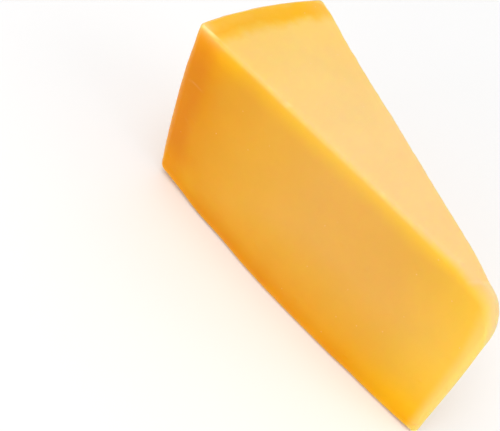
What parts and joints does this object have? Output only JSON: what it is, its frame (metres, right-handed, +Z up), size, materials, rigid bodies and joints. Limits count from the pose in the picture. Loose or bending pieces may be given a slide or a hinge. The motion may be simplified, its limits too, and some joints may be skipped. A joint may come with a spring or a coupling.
{
  "type": "cheese wedge",
  "caption": "Narrow wedge of semi-hard cheese, a sector of a low round wheel, with flat cut faces, a thin worn tip and a curved outer skin.",
  "frame": {"origin": "under the middle of the wedge's bounding box, on the surface that it stands on", "axes": "+X from the wheel's outer skin towards the thin tip, -Y and +Y out of the two cut faces, +Z up, along the wheel's axis"},
  "size_m": [0.1204, 0.0454, 0.0635],
  "materials": {
    "cheese_paste": "waxy satin semi-hard cheese: warm yellow-orange paste, slightly translucent, deeper orange towards the wheel's skin and base"
  },
  "bodies": {
    "root": {"cheese_wedge": "cheese_paste"}
  },
  "joints": []
}
